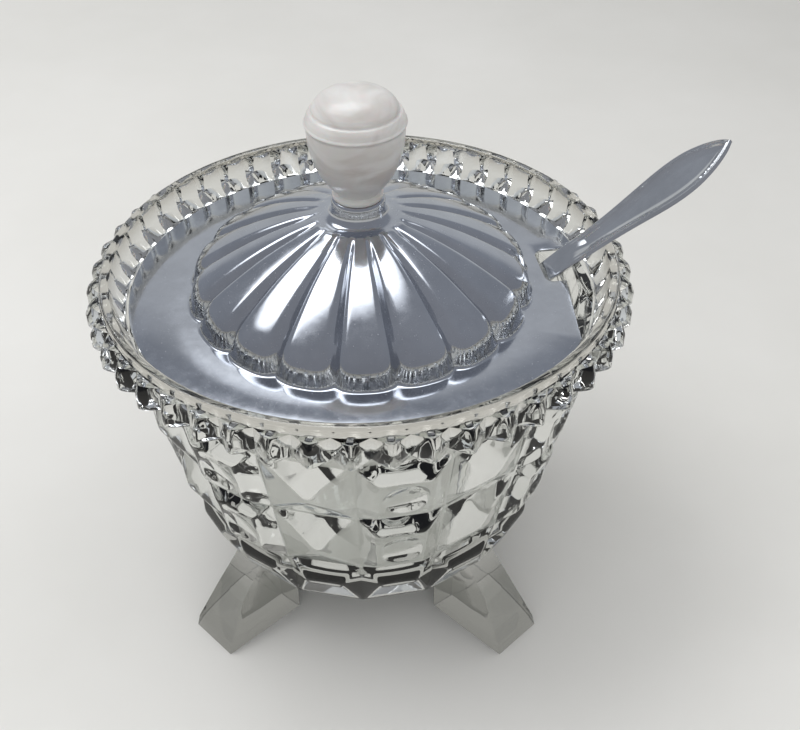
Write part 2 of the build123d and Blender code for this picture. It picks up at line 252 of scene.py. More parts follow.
def cell_rise(u, v, half_low, half_high, half_height, raise_by, width_share, bottom_share, top_share):
    # Height of a bevelled block above its column's face, from the nearest of its four bevels
    half = half_low + (half_high - half_low) * (v / half_height + 1) / 2
    side = (half - np.abs(u)) / (half * (1 - width_share))
    bottom = (v + half_height) / (half_height * (1 + bottom_share))
    top = (half_height - v) / (half_height * (1 - top_share))
    ends = soft_min(bottom, top, edge_round / raise_by)
    rise = soft_min(soft_min(side, ends, edge_round / raise_by), np.ones_like(side), edge_round / raise_by)
    return raise_by * soft_max(rise, np.zeros_like(rise), groove_round / raise_by)


def thumbprint(u, v, radius, depth, middle):
    # Depth of the round dish that is pressed into a button
    ball = (radius**2 + depth**2) / (2 * depth)
    across = np.sqrt(u**2 + (v - middle) ** 2)
    bowl = np.sqrt(np.maximum(ball**2 - across**2, 0)) - (ball - depth)
    return soft_max(bowl, np.zeros_like(bowl), print_round)


def column_field(star):
    # One column's rows of points, bottom to top, with the column's middle at +X
    rows = []
    share = np.linspace(-1, 1, samples_per_column + 1)[:-1]
    cells = (
        (base_height, lower_row_height, "skirt"),
        (lower_row_height, middle_row_height, "cell"),
        (middle_row_height, upper_row_height, "cell"),
    )
    for low, high, kind in cells:
        half_low = body_radius(low) * math.sin(half_column)
        half_high = body_radius(high) * math.sin(half_column)
        half_height = (high - low) / 2 / math.cos(body_slope)
        count = round((high - low) / row_step)
        for step in range(count):
            v = np.full_like(share, -half_height + 2 * half_height * step / count)
            half = half_low + (half_high - half_low) * (v / half_height + 1) / 2
            u = share * half
            if kind == "skirt":
                rise = cell_rise(u, v, half_low, half_high, half_height, skirt_raise, *skirt_face)
            elif star:
                rise = cell_rise(u, v, half_low, half_high, half_height, star_raise, *star_face)
            else:
                rise = cell_rise(u, v, half_low, half_high, half_height, button_raise, *button_face)
                print_radius = (high - low) / 2 * print_share
                rise = rise - thumbprint(u, v, print_radius, print_depth, print_rise)
            height = (low + high) / 2 + v * math.cos(body_slope)
            apothem = body_radius(height) * math.cos(half_column)
            x = apothem + rise * math.cos(body_slope)
            z = height - rise * math.sin(body_slope)
            rows.append(np.stack([x, u, z], -1))
    return np.array(rows)


def jar_body():
    # The whole body as rings of points: sole, rows of cells, collar, lip, seat, wall and floor
    star = column_field(True)
    button = column_field(False)
    columns = [turned(star if k % 2 else button, (2 * k + 1) * half_column) for k in range(column_count)]
    body = np.concatenate(columns, axis=1)
    around = samples_per_column * column_count
    turn = np.arange(around) / around * 2 * math.pi
    teeth = column_count * teeth_per_column
    phase = turn * teeth / (2 * math.pi)
    from_ridge = np.abs(phase - np.round(phase)) * 2
    from_ridge = np.sqrt(from_ridge**2 + ridge_round) - np.sqrt(ridge_round)
    from_ridge = from_ridge / from_ridge.max()
    flat = np.cos(half_column) / np.cos((turn % (2 * half_column)) - half_column)
    rings = []

    def ring(ridge, valley, height, flatness=0.0):
        radius = ridge + (valley - ridge) * from_ridge
        radius = radius * (1 - flatness + flatness * flat)
        rings.append(polar(radius, turn, height))

    valley = tooth_ridge_radius - tooth_depth
    for height in plain_heights:
        ring(body_radius(height), body_radius(height), height, 1.0)
    foot_ridge = tooth_ridge_radius - tooth_foot_inset
    foot_valley = valley - tooth_foot_inset / 2
    # Teeth, whose edges are eased by small steps
    ring(foot_ridge - tooth_foot_round, foot_valley - tooth_foot_round, tooth_foot_height)
    ring(foot_ridge, foot_valley, tooth_foot_height + 0.1)
    ring(tooth_ridge_radius - tooth_edge, valley - 0.2, collar_height - 0.2)
    ring(tooth_ridge_radius, valley, collar_height + 0.25)
    ring(tooth_ridge_radius, valley, tooth_break_height - 0.2)
    ring(tooth_ridge_radius - 0.05, valley, tooth_break_height + 0.1)
    ring(tooth_ridge_radius - tooth_top_bevel, valley, tooth_top_height - tooth_edge)
    ring(tooth_ridge_radius - tooth_top_bevel - tooth_edge, valley - 0.1, tooth_top_height)
    ring(lip_outer_radius + tooth_edge, lip_outer_radius + tooth_edge / 2, tooth_top_height)
    ring(lip_outer_radius, lip_outer_radius, tooth_top_height + 0.2)
    # Rounded lip, outer half and inner half
    for step in range(lip_steps + 1):
        angle = math.pi / 2 * step / lip_steps
        radius = lip_outer_radius - lip_round * (1 - math.cos(angle))
        ring(radius, radius, lip_height - lip_round * (1 - math.sin(angle)))
    inner_round = lip_round * inner_round_share
    for step in range(lip_steps + 1):
        angle = math.pi / 2 * (1 - step / lip_steps)
        radius = lip_inner_radius + inner_round * (1 - math.cos(angle)) - lip_overlap
        ring(radius, radius, lip_height - inner_round * (1 - math.sin(angle)))
    # Seat for the lid, inner wall and floor
    seat_height = margin_top - sheet
    floor_radius = body_radius(floor_height) * math.cos(half_column) - wall_gap
    profile = [
        (seat_radius + 0.35, seat_height + 0.9),
        (seat_radius + 0.08, seat_height + 0.25),
        (seat_radius - 0.1, seat_height + 0.05),
        (seat_radius - 0.4, seat_height),
        (seat_radius - seat_width + 0.4, seat_height),
        (seat_radius - seat_width + 0.1, seat_height - 0.1),
    ]
    wall_run = seat_radius - seat_width - floor_radius
    wall_rise = seat_height - floor_height
    lean = math.atan(wall_run / wall_rise)
    corner = floor_round * math.tan((math.pi / 2 - lean) / 2)
    for step in range(1, wall_steps):
        share = step / wall_steps * (1 - corner * math.cos(lean) / wall_rise)
        profile.append((seat_radius - seat_width - wall_run * share, seat_height - wall_rise * share))
    middle = (floor_radius - corner, floor_height + floor_round)
    for step in range(corner_steps + 1):
        angle = -lean - (math.pi / 2 - lean) * step / corner_steps
        across, up = floor_round * math.cos(angle), floor_round * math.sin(angle)
        profile.append((middle[0] + across, middle[1] + up))
    for radius in (middle[0] * 0.75, middle[0] * 0.5, middle[0] * 0.25, centre_radius):
        profile.append((radius, floor_height))
    for radius, height in profile:
        ring(radius, radius, height)
    below = [circle(radius, base_height, turn) for radius in base_circles]
    points = np.concatenate([np.array(below), body, np.array(rings)], axis=0)
    rows = len(points)
    faces = ring_grid(rows, around)
    faces.append(tuple(range(around))[::-1])
    faces.append(tuple(range((rows - 1) * around, rows * around)))
    return new_object("jar_body", points.reshape(-1, 3), faces)


# Side view of a foot as radius and height, with how far each point's sides draw in
foot_count = 4
foot_width = 13.2
foot_outline = [(29.5, 0.0), (50.3, 0.0), (49.6, 3.0), (43.6, 12.1)]
foot_outline += [(39.0, 17.0), (37.2, 19.0), (29.5, 19.0)]
foot_draw_in = [0.0, 0.35, 0.6, 2.2, 2.5, 2.5, 0.0]
foot_round = 0.8
foot_round_below = 18.0
first_foot_turn = 45


def jar_foot(turn):
    # One foot, standing on a flat sole, with rounded edges
    half = foot_width / 2
    points = []
    for side in (-1, 1):
        for (radius, height), draw_in in zip(foot_outline, foot_draw_in):
            points.append((radius, side * (half - draw_in), height))
    count = len(foot_outline)
    faces = [tuple(range(count)), tuple(range(2 * count - 1, count - 1, -1))]
    for k in range(count):
        after = (k + 1) % count
        faces.append((k, k + count, after + count, after))
    foot = new_object("foot", turned(np.array(points), turn), faces)
    recalculate_normals(foot)
    work = bmesh.new()
    work.from_mesh(foot.data)
    edges = [e for e in work.edges if max(v.co.z for v in e.verts) < foot_round_below * MM]
    round_to = foot_round * MM
    bmesh.ops.bevel(
        work, geom=edges, offset=round_to, segments=3, affect="EDGES", profile=0.5, clamp_overlap=True
    )
    work.to_mesh(foot.data)
    work.free()
    return foot


def union(base, other):
    step = base.modifiers.new("join", "BOOLEAN")
    step.operation = "UNION"
    step.solver = "MANIFOLD"
    step.object = other
    bpy.context.view_layer.objects.active = base
    bpy.ops.object.modifier_apply(modifier=step.name)
    bpy.data.objects.remove(other)


# Lid


def finger_distance(p):
    # Signed distance, near enough, to the finger at +X: a rounded crown that ends in a round nose
    along = np.clip(p[..., 0], finger_root_radius, finger_bend_radius)
    ahead = np.abs(p[..., 0] - along) * nose_squeeze
    beside = np.abs(p[..., 1])
    across = (ahead**nose_power + beside**nose_power) ** (1 / nose_power)
    crown = np.interp(p[..., 0], crown_line[:, 0], crown_line[:, 1]) - crown_bow * beside**2
    edge = np.interp(p[..., 0], crown_at, crown_round)
    half = along * math.tan(math.pi / finger_count) * finger_fill
    top = p[..., 2] - (crown - edge)
    side = across + side_draft * top - (half - edge)
    outside = np.hypot(np.maximum(side, 0), np.maximum(top, 0))
    return outside + np.minimum(np.maximum(side, top), 0) - edge


def lid_field(p):
    # Signed distance to the filled form of the lid, for points near the finger at +X
    radius = np.hypot(p[..., 0], p[..., 1])
    height = p[..., 2]
    slope = np.array([valley_height - knee_height, knee_radius - shoulder_radius])
    slope = slope / np.hypot(*slope)
    dome = (radius - shoulder_radius) * slope[0] + (height - valley_height) * slope[1]
    brim = np.array([knee_height, valley_end_radius - knee_radius])
    brim = brim / np.hypot(*brim)
    wall = (radius - knee_radius) * brim[0] + (height - knee_height) * brim[1]
    field = soft_max(soft_max(dome, wall, dome_blend), height - shoulder_height, shoulder_blend)
    for side in (-1, 0, 1):
        finger = finger_distance(turned(p, -side * 2 * math.pi / finger_count))
        field = soft_min(field, finger, finger_blend)
    return soft_min(field, height, margin_blend)


def traced(directions, centre, level):
    # Where rays from the centre leave the form's level surface
    low = np.full(directions.shape[:-1], trace_near)
    high = np.full(directions.shape[:-1], trace_far)
    for _ in range(trace_halvings):
        middle = (low + high) / 2
        outside = lid_field(centre + directions * middle[..., None]) > level
        high = np.where(outside, middle, high)
        low = np.where(outside, low, middle)
    return centre + directions * low[..., None]


def lid_dome(level, steps):
    # Ring points of the domed part, from the shoulder out to the flat margin
    centre = np.array([0, 0, trace_height])
    start = math.atan(trace_first_radius / (shoulder_height - trace_height))
    fine = math.atan(trace_fine_radius / trace_fine_rise)
    end = math.atan(plate_inner_radius / (level - trace_height))
    coarse_tilt = np.linspace(start, fine, steps, endpoint=False)
    tilt = np.concatenate([coarse_tilt, np.linspace(fine, end, steps // 2)])
    half = math.pi / finger_count
    turn = np.linspace(-half, half, columns_per_finger, endpoint=False)
    grid_tilt, grid_turn = np.meshgrid(tilt, turn, indexing="ij")
    sector = traced(polar(np.sin(grid_tilt), grid_turn, np.cos(grid_tilt)), centre, level)
    first_turn = math.radians(finger_turn)
    whole = [turned(sector, first_turn + k * 2 * half) for k in range(finger_count)]
    return np.concatenate(whole, axis=1)


def notch_side_meets(distance, turn, side):
    # Where the notch's side line crosses a line at a distance from the axis
    return (distance - side * math.sin(turn)) / math.cos(turn)


def lid_margin_outline(inset):
    # Outer outline of the margin with its notch and the flat beside it, shrunk by the inset
    half = notch_width / 2 + inset
    rim = lid_radius - inset
    turn = math.radians(trim_turn - notch_turn)
    trim = trim_distance - inset
    trim_end = turn - math.acos(trim / rim)
    first = math.asin(half / rim)
    last = 2 * math.pi + trim_end
    points = []
    for k in range(outline_steps + 1):
        angle = first + (last - first) * k / outline_steps
        points.append((rim * math.cos(angle), rim * math.sin(angle)))
    # Flat beside the notch, down to the notch's near side
    far = np.array(points[-1])
    near = np.array([notch_side_meets(trim, turn, -half), -half])
    points += [tuple(far + (near - far) * k / corner_steps) for k in range(1, corner_steps + 1)]
    # Notch: near side, two rounded corners and the far side
    end = notch_end_radius - inset
    corner = notch_corner_round + inset
    for k in range(corner_steps + 1):
        angle = -math.pi / 2 - math.pi / 2 * k / corner_steps
        points.append((end + corner + corner * math.cos(angle), corner - half + corner * math.sin(angle)))
    for k in range(corner_steps + 1):
        angle = math.pi - math.pi / 2 * k / corner_steps
        points.append((end + corner + corner * math.cos(angle), half - corner + corner * math.sin(angle)))
    flat = np.array(points)
    angle = math.radians(notch_turn)
    c, s = math.cos(angle), math.sin(angle)
    return flat @ np.array([[c, s], [-s, c]])


def lid_shell():
    # The lid as one closed sheet: neck, dome with its fingers, margin and notch
    around = columns_per_finger * finger_count
    turn = math.radians(finger_turn) - math.pi / finger_count + np.arange(around) / around * 2 * math.pi
    # Neck as radius and height, with a rounded top edge and a soft foot on the shoulder
    top = ((screw_hole_radius, 0), (4.6, 0), (5.2, 0.1), (5.5, 0.35), (neck_radius, 0.8))
    neck_outer = [(radius, neck_top - drop) for radius, drop in top]
    foot = ((0, 2.4), (0.08, 1.6), (0.3, 1.0), (0.65, 0.55), (1.15, 0.22), (1.7, 0.05))
    neck_outer += [(neck_radius + out, shoulder_height + rise) for out, rise in foot]
    outer_top = [circle(r, h, turn) for r, h in neck_outer]
    outer = np.concatenate([np.array(outer_top), lid_dome(0.0, outer_rows)], axis=0)
    neck_inner = [(r - sheet * (k > 0), h - sheet) for k, (r, h) in enumerate(neck_outer)]
    inner_top = [circle(r, h, turn) for r, h in neck_inner]
    inner = np.concatenate([np.array(inner_top), lid_dome(-sheet, inner_rows)], axis=0)
    count_outer = len(outer)
    points = np.concatenate([outer[::-1].reshape(-1, 3), inner.reshape(-1, 3)], axis=0)
    faces = ring_grid(count_outer + len(inner), around)
    points = points.tolist()
    # Flat margin: rings of the outline with rounded edges, filled in to the dome's last ring
    edge_rows = [(0.3, 0.0), (0.09, -0.09), (0.0, -0.35), (0.09, -0.61), (0.3, -sheet)]
    loops = []
    for inset, height in edge_rows:
        start = len(points)
        outline = lid_margin_outline(inset)
        points += [(x, y, height) for x, y in outline]
        loops.append((start, len(outline)))
    for (first, count), (second, _) in zip(loops, loops[1:]):
        for k in range(count):
            after = (k + 1) % count
            faces.append((first + k, first + after, second + after, second + k))
    top_ring = list(range(around))
    bottom_start = (count_outer + len(inner) - 1) * around
    bottom_ring = list(range(bottom_start, bottom_start + around))
    for ring, (start, count) in ((top_ring, loops[0]), (bottom_ring, loops[-1])):
        index = ring + list(range(start, start + count))
        flat = [Vector(points[i][:2]) for i in index]
        inner_edges = [(k, (k + 1) % around) for k in range(around)]
        outer_edges = [(around + k, around + (k + 1) % count) for k in range(count)]
        _, _, triangles, origin = delaunay_2d_cdt(flat, inner_edges + outer_edges, [], 2, 1e-6)[:4]
        for triangle in triangles:
            # Triangles with all corners on the dome's last ring would roof over its scallops
            if all(origin[k][0] < around for k in triangle):
                continue
            faces.append(tuple(index[origin[k][0]] for k in triangle))
    shell = new_object("lid_shell", np.array(points) + np.array([0, 0, margin_top]), faces)
    recalculate_normals(shell, shell_weld)
    shell.data.shade_smooth()
    shell.data.set_sharp_from_angle(angle=math.radians(lid_sharp_angle))
    return shell


# Knob, turned from one profile of radius and height above its base

knob_bore_radius = 2.1
knob_bore_depth = 9.0
knob_collar = [(knob_bore_radius, 0.0), (4.9, 0.0), (5.2, 0.12), (5.3, 0.4), (5.3, 0.9), (5.2, 1.15)]
knob_collar += [(4.95, 1.3), (4.82, 1.5)]
knob_bulb = [(4.85, 1.7), (5.6, 2.7), (7.2, 5.0), (8.4, 7.4), (9.2, 9.8), (9.65, 12.0)]
knob_bulb += [(9.87, 14.2), (9.95, 15.9)]
knob_bead_radius = 10.0
knob_bead_rise = 0.3
knob_bead_foot = 16.3
knob_bead_height = 0.9
knob_bead_steps = 8
knob_taper = [(9.98, 17.4), (9.75, 18.2), (9.35, 18.9), (9.1, 19.1)]
knob_groove = [(8.85, 19.15), (8.65, 19.3), (8.6, 19.5), (8.62, 19.7)]
knob_cap = [(8.6, 19.85), (8.2, 20.6), (7.3, 21.5), (5.6, 22.5), (3.0, 23.2), (0.4, 23.4)]
knob_columns = 160
knob_sharp_angle = 40


def knob_turned():
    base = knob_low.z / MM
    bead = []
    for k in range(knob_bead_steps + 1):
        out = knob_bead_rise * math.sin(math.pi * k / knob_bead_steps)
        rise = knob_bead_height * k / knob_bead_steps
        bead.append((knob_bead_radius + out, knob_bead_foot + rise))
    profile = knob_collar + smooth_line(knob_bulb, 6) + bead
    profile += smooth_line(knob_taper, 4) + knob_groove + smooth_line(knob_cap, 7)
    around = knob_columns
    turn = np.arange(around) / around * 2 * math.pi
    rings = [circle(r, base + h, turn) for r, h in profile]
    rows = len(rings)
    points = np.array(rings).reshape(-1, 3)
    faces = ring_grid(rows, around)
    faces.append(tuple(range((rows - 1) * around, rows * around)))
    points = np.concatenate([points, circle(knob_bore_radius, base + knob_bore_depth, turn)])
    start = rows * around
    for k in range(around):
        after = (k + 1) % around
        faces.append((k, start + k, start + after, after))
    faces.append(tuple(range(start, start + around)))
    knob = new_object("knob_turned", points, faces, knob_sharp_angle)
    recalculate_normals(knob)
    return knob


# Spoon

spoon_length = 125.0
spoon_lean = math.radians(42.5)
spoon_roll = math.radians(8.0)
pass_point = np.array([43.904, 6.59, margin_top + 1.1])
handle_outside = 43.7
handle_thickness = 1.0
neck_depth = 1.5
bowl_length = 40.0
bowl_width = 25.0
bowl_depth = 6.5
bowl_sheet = 1.0
bowl_under = 0.15
neck_at = -28.0
neck_reach = 16.0
neck_join = 9.0
bowl_join = 6.0
join_round = 1.2
side_share = 0.55
middle_share = 0.45
edge_drop = 0.28
edge_width = 0.35
stem_from_bowl = 1.2
stem_end = 36.0
tip_from = 36.2
bowl_rows = 90
stem_rows = 210
tip_rows = 40
upper_points = 61
under_points = 41
spoon_sharp_angle = 50

# Half width of handle and neck, at lengths along the spoon from the point over the lip
handle_at = [-50.0, -41.0, -30.0, -15.0, 0.0, 8.3, 14.0, 18.7, 22.8, 26.8, 30.5, 34.0]
handle_at += [37.0, 39.5, 41.7, 43.0, 43.7]
handle_half = [0.4, 2.3, 2.4, 2.85, 3.6, 4.0, 4.5, 5.1, 5.7, 6.2, 6.35, 6.0]
handle_half += [5.1, 3.95, 2.5, 1.25, 0.1]
handle_line = np.array(smooth_line(list(zip(handle_at, handle_half)), 10))

# Raised borders of the handle: height, distance from the edge and breadth of each
outer_rail = (0.30, 0.75, 0.30)
inner_rail = (0.20, 1.55, 0.22)
rail_start = 3.0
rail_fade = 4.0
rail_drop = 0.36
trough_depth = 0.55
trough_edge = 1.8
trough_width = 1.6
bead_groups = (9.5, 22.0, 35.0)
bead_group_reach = 1.9
bead_pitch = 1.2
bead_lift = 0.16
bead_breadth = 0.35


def spoon_half_width(x):
    return np.interp(x, handle_line[:, 0], handle_line[:, 1])


def hump(distance, middle, breadth):
    return np.exp(-(((distance - middle) / breadth) ** 2))


def handle_relief(x, edge):
    # Height of the handle's borders, beads and trough, by the distance from its edge
    fade = min(1.0, (x - rail_start) / rail_fade)
    rail = outer_rail[0] * hump(edge, *outer_rail[1:]) + inner_rail[0] * hump(edge, *inner_rail[1:])
    group = sum(np.exp(-(((x - place) / bead_group_reach) ** 4)) for place in bead_groups)
    beads = bead_lift * group * np.cos(math.pi * x / bead_pitch) ** 2
    rail = rail + beads * hump(edge, inner_rail[1], bead_breadth)
    trough = trough_depth * np.clip((edge - trough_edge) / trough_width, 0, 1) ** 0.7
    return fade * (rail - rail_drop - trough)


def spoon_points():
    # Closed rings of points along the spoon, upper side and then under side
    curve = ((bowl_length / 2) ** 2 + bowl_depth**2) / (2 * bowl_depth)
    axis_rise = ((bowl_width / 2) ** 2 - bowl_depth**2) / (2 * bowl_depth)
    middle = handle_outside - spoon_length + bowl_length / 2
    tip = handle_outside - spoon_length
    face = handle_thickness / 2

    def bowl_depth_at(x, y, inset):
        reach = np.maximum((curve - inset) ** 2 - (x - middle) ** 2, 0)
        deep = np.maximum(axis_rise + np.sqrt(reach) - (curve - bowl_depth), 0)
        return np.sqrt(np.maximum(deep**2 - y**2, 0)) - axis_rise

    def bowl_half_width(x):
        deep = axis_rise + np.sqrt(np.maximum(curve**2 - (x - middle) ** 2, 0)) - (curve - bowl_depth)
        return np.sqrt(np.maximum(np.maximum(deep, 0) ** 2 - axis_rise**2, 0))

    # Rows lie closer together towards the bowl's two ends; its last few give way to the stem's
    spread = np.sin(np.linspace(-math.pi / 2, math.pi / 2, bowl_rows))
    bowl_stations = middle + bowl_length / 2 * spread[:-8]
    stem_stations = np.linspace(tip + bowl_length - stem_from_bowl, stem_end, stem_rows)
    tip_stations = np.linspace(tip_from, handle_outside, tip_rows)
    stations = np.concatenate([bowl_stations, stem_stations, tip_stations])
    top_share = np.linspace(-1, 1, upper_points)
    top_share = np.sign(top_share) * (1 - (1 - np.abs(top_share)) ** 1.25)
    bottom_share = np.linspace(1, -1, under_points)[1:-1]
    rows = []
    for x in stations:
        on_stem = x > tip + bowl_length - neck_join
        half = max(float(bowl_half_width(x)), 0.05) if x < tip + bowl_length - bowl_join else 0.0
        if on_stem:
            narrow = float(spoon_half_width(x))
            wide = float(bowl_half_width(x)) if x < tip + bowl_length else 0.0
            half = float(soft_max(np.array(narrow), np.array(wide), join_round))
        y = half * top_share
        inner = np.maximum(bowl_depth_at(x, y, bowl_sheet), 0)
        edge = half - np.abs(y)
        top = face - inner
        if x > rail_start:
            top = top + handle_relief(x, edge)
        top = top - edge_drop * np.clip(1 - edge / edge_width, 0, 1) ** 2
        y_low = half * bottom_share
        outer = np.maximum(bowl_depth_at(x, y_low, 0.0), 0)
        if on_stem:
            extra = (neck_depth - handle_thickness) * math.exp(-(((x - neck_at) / neck_reach) ** 2))
            share = np.clip(1 - (y_low / max(half, 0.1)) ** 2, 0, 1)
            under = (handle_thickness + extra) * (side_share + middle_share * np.sqrt(share))
            low = face - np.maximum(outer, under)
        else:
            low = face - outer - bowl_under
        upper_side = np.stack([np.full_like(y, x), y, top], -1)
        under_side = np.stack([np.full_like(y_low, x), y_low, low], -1)
        rows.append(np.concatenate([upper_side, under_side]))
    return np.array(rows)


def spoon_loft():
    rows = spoon_points()
    along = np.array([math.cos(spoon_lean), 0, math.sin(spoon_lean)])
    lift = np.array([-math.sin(spoon_lean), 0, math.cos(spoon_lean)])
    level = np.array([0, 1.0, 0])
    across = level * math.cos(spoon_roll) + lift * math.sin(spoon_roll)
    normal = lift * math.cos(spoon_roll) - level * math.sin(spoon_roll)
    points = pass_point + rows @ np.array([along, across, normal])
    count, around = points.shape[:2]
    faces = ring_grid(count, around)
    faces.append(tuple(range(around)))
    faces.append(tuple(range((count - 1) * around, count * around))[::-1])
    spoon = new_object("spoon_loft", points.reshape(-1, 3), faces, spoon_sharp_angle)
    recalculate_normals(spoon)
    return spoon


# Materials


def new_material(name):
    material = bpy.data.materials.new(name)
    material.use_nodes = True
    tree = material.node_tree
    return material, tree.nodes, tree.links, tree.nodes["Principled BSDF"]


def noise_node(nodes, links, scale, detail=4.0, roughness=0.6, stretch=None):
    # Noise in the object's own coordinates, in metres, so the scale counts cells per metre
    place = nodes.new("ShaderNodeTexCoord")
    noise = nodes.new("ShaderNodeTexNoise")
    noise.inputs["Scale"].default_value = scale
    noise.inputs["Detail"].default_value = detail
    noise.inputs["Roughness"].default_value = roughness
    if stretch:
        mapping = nodes.new("ShaderNodeMapping")
        mapping.inputs["Scale"].default_value = stretch
        links.new(place.outputs["Object"], mapping.inputs["Vector"])
        links.new(mapping.outputs["Vector"], noise.inputs["Vector"])
    else:
        links.new(place.outputs["Object"], noise.inputs["Vector"])
    return noise


def ramp_node(nodes, links, source, stops):
    # A colour ramp from stops of position and colour
    ramp = nodes.new("ShaderNodeValToRGB")
    elements = ramp.color_ramp.elements
    elements[0].position, elements[0].color = stops[0]
    elements[1].position, elements[1].color = stops[-1]
    for position, colour in stops[1:-1]:
        elements.new(position).color = colour
    links.new(source, ramp.inputs["Fac"])
    return ramp


def grey(value):
    return (value, value, value, 1)


def bump_node(nodes, links, shader, source, strength, distance):
    bump = nodes.new("ShaderNodeBump")
    bump.inputs["Strength"].default_value = strength
    bump.inputs["Distance"].default_value = distance
    links.new(source.outputs["Fac"], bump.inputs["Height"])
    links.new(bump.outputs["Normal"], shader.inputs["Normal"])


def glass_material():
    # Clear glass with painted shade towards the feet and lower body, where it is darker; it is also darker
    # and warmer at the lip's edge
    material, nodes, links, shader = new_material("pressed_glass")
    place = nodes.new("ShaderNodeTexCoord")
    split = nodes.new("ShaderNodeSeparateXYZ")
    links.new(place.outputs["Object"], split.inputs["Vector"])
    level = nodes.new("ShaderNodeMapRange")
    level.inputs["From Max"].default_value = lip_height * MM
    links.new(split.outputs["Z"], level.inputs["Value"])
    # Painted shade: the base colour darkens by height towards the feet and lower body; the last stop
    # darkens the lip's edge
    painted_shade_stops = [(0.0, (0.17, 0.175, 0.165, 1)), (0.16, (0.28, 0.29, 0.27, 1)), (0.24, (0.80, 0.81, 0.79, 1))]
    painted_shade_stops += [(0.45, (0.88, 0.90, 0.88, 1)), (0.62, (0.98, 1.0, 0.985, 1)), (0.955, (0.98, 0.99, 0.97, 1))]
    painted_shade_stops += [(0.985, (0.62, 0.60, 0.55, 1))]
    tint = ramp_node(nodes, links, level.outputs["Result"], painted_shade_stops)
    links.new(tint.outputs["Color"], shader.inputs["Base Color"])
    shader.inputs["Transmission Weight"].default_value = 1.0
    shader.inputs["IOR"].default_value = 1.5
    haze = noise_node(nodes, links, 90.0, 5.0)
    rough = ramp_node(nodes, links, haze.outputs["Fac"], [(0.45, grey(0.0)), (0.8, grey(0.06))])
    links.new(rough.outputs["Color"], shader.inputs["Roughness"])
    waves = noise_node(nodes, links, 140.0, 2.0)
    bump_node(nodes, links, shader, waves, 0.06, 0.0006)
    return material


def chrome_material(name, tint, haze_low, haze_high, dust):
    # Polished chrome with faint stains, uneven haze, specks of dust and a slight ripple
    material, nodes, links, shader = new_material(name)
    shader.inputs["Metallic"].default_value = 1.0
    stain = noise_node(nodes, links, 60.0, 6.0, 0.65)
    dark = tuple(c * 0.86 for c in tint) + (1,)
    colour = ramp_node(nodes, links, stain.outputs["Fac"], [(0.35, dark), (0.6, tuple(tint) + (1,))])
    links.new(colour.outputs["Color"], shader.inputs["Base Color"])
    haze = noise_node(nodes, links, 300.0, 6.0, 0.7)
    rough = ramp_node(nodes, links, haze.outputs["Fac"], [(0.4, grey(haze_low)), (0.75, grey(haze_high))])
    specks = noise_node(nodes, links, 2600.0, 1.0, 0.5)
    dots = ramp_node(nodes, links, specks.outputs["Fac"], [(0.72, grey(0.0)), (0.76, grey(dust))])
    total = nodes.new("ShaderNodeMath")
    total.operation = "ADD"
    total.use_clamp = True
    links.new(rough.outputs["Color"], total.inputs[0])
    links.new(dots.outputs["Color"], total.inputs[1])
    links.new(total.outputs["Value"], shader.inputs["Roughness"])
    ripple = noise_node(nodes, links, 180.0, 2.0, 0.5)
    bump_node(nodes, links, shader, ripple, 0.08, 0.0004)
    return material


def pearl_material():
    # Off-white plastic with soft pearly swirls under a thin gloss
    material, nodes, links, shader = new_material("pearl_plastic")
    swirl = noise_node(nodes, links, 70.0, 3.0, 0.5, (1.0, 1.0, 2.2))
    swirl.inputs["Distortion"].default_value = 1.5
    stops = [(0.35, (0.53, 0.50, 0.48, 1)), (0.62, (0.67, 0.66, 0.65, 1))]
    colour = ramp_node(nodes, links, swirl.outputs["Fac"], stops)
    links.new(colour.outputs["Color"], shader.inputs["Base Color"])
    shader.inputs["Subsurface Weight"].default_value = 0.15
    shader.inputs["Subsurface Scale"].default_value = 0.004
    shader.inputs["Coat Weight"].default_value = 0.4
    shader.inputs["Coat Roughness"].default_value = 0.12
    grain = noise_node(nodes, links, 900.0, 4.0)
    rough = ramp_node(nodes, links, grain.outputs["Fac"], [(0.4, grey(0.28)), (0.7, grey(0.42))])
    links.new(rough.outputs["Color"], shader.inputs["Roughness"])
    bump_node(nodes, links, shader, grain, 0.05, 0.0002)
    return material


def steel_material():
    material, nodes, links, shader = new_material("screw_steel")
    shader.inputs["Metallic"].default_value = 1.0
    shader.inputs["Base Color"].default_value = (0.55, 0.54, 0.52, 1)
    turned_marks = noise_node(nodes, links, 1500.0, 3.0, 0.6, (1, 1, 6))
    rough = ramp_node(nodes, links, turned_marks.outputs["Fac"], [(0.3, grey(0.25)), (0.7, grey(0.5))])
    links.new(rough.outputs["Color"], shader.inputs["Roughness"])
    return material


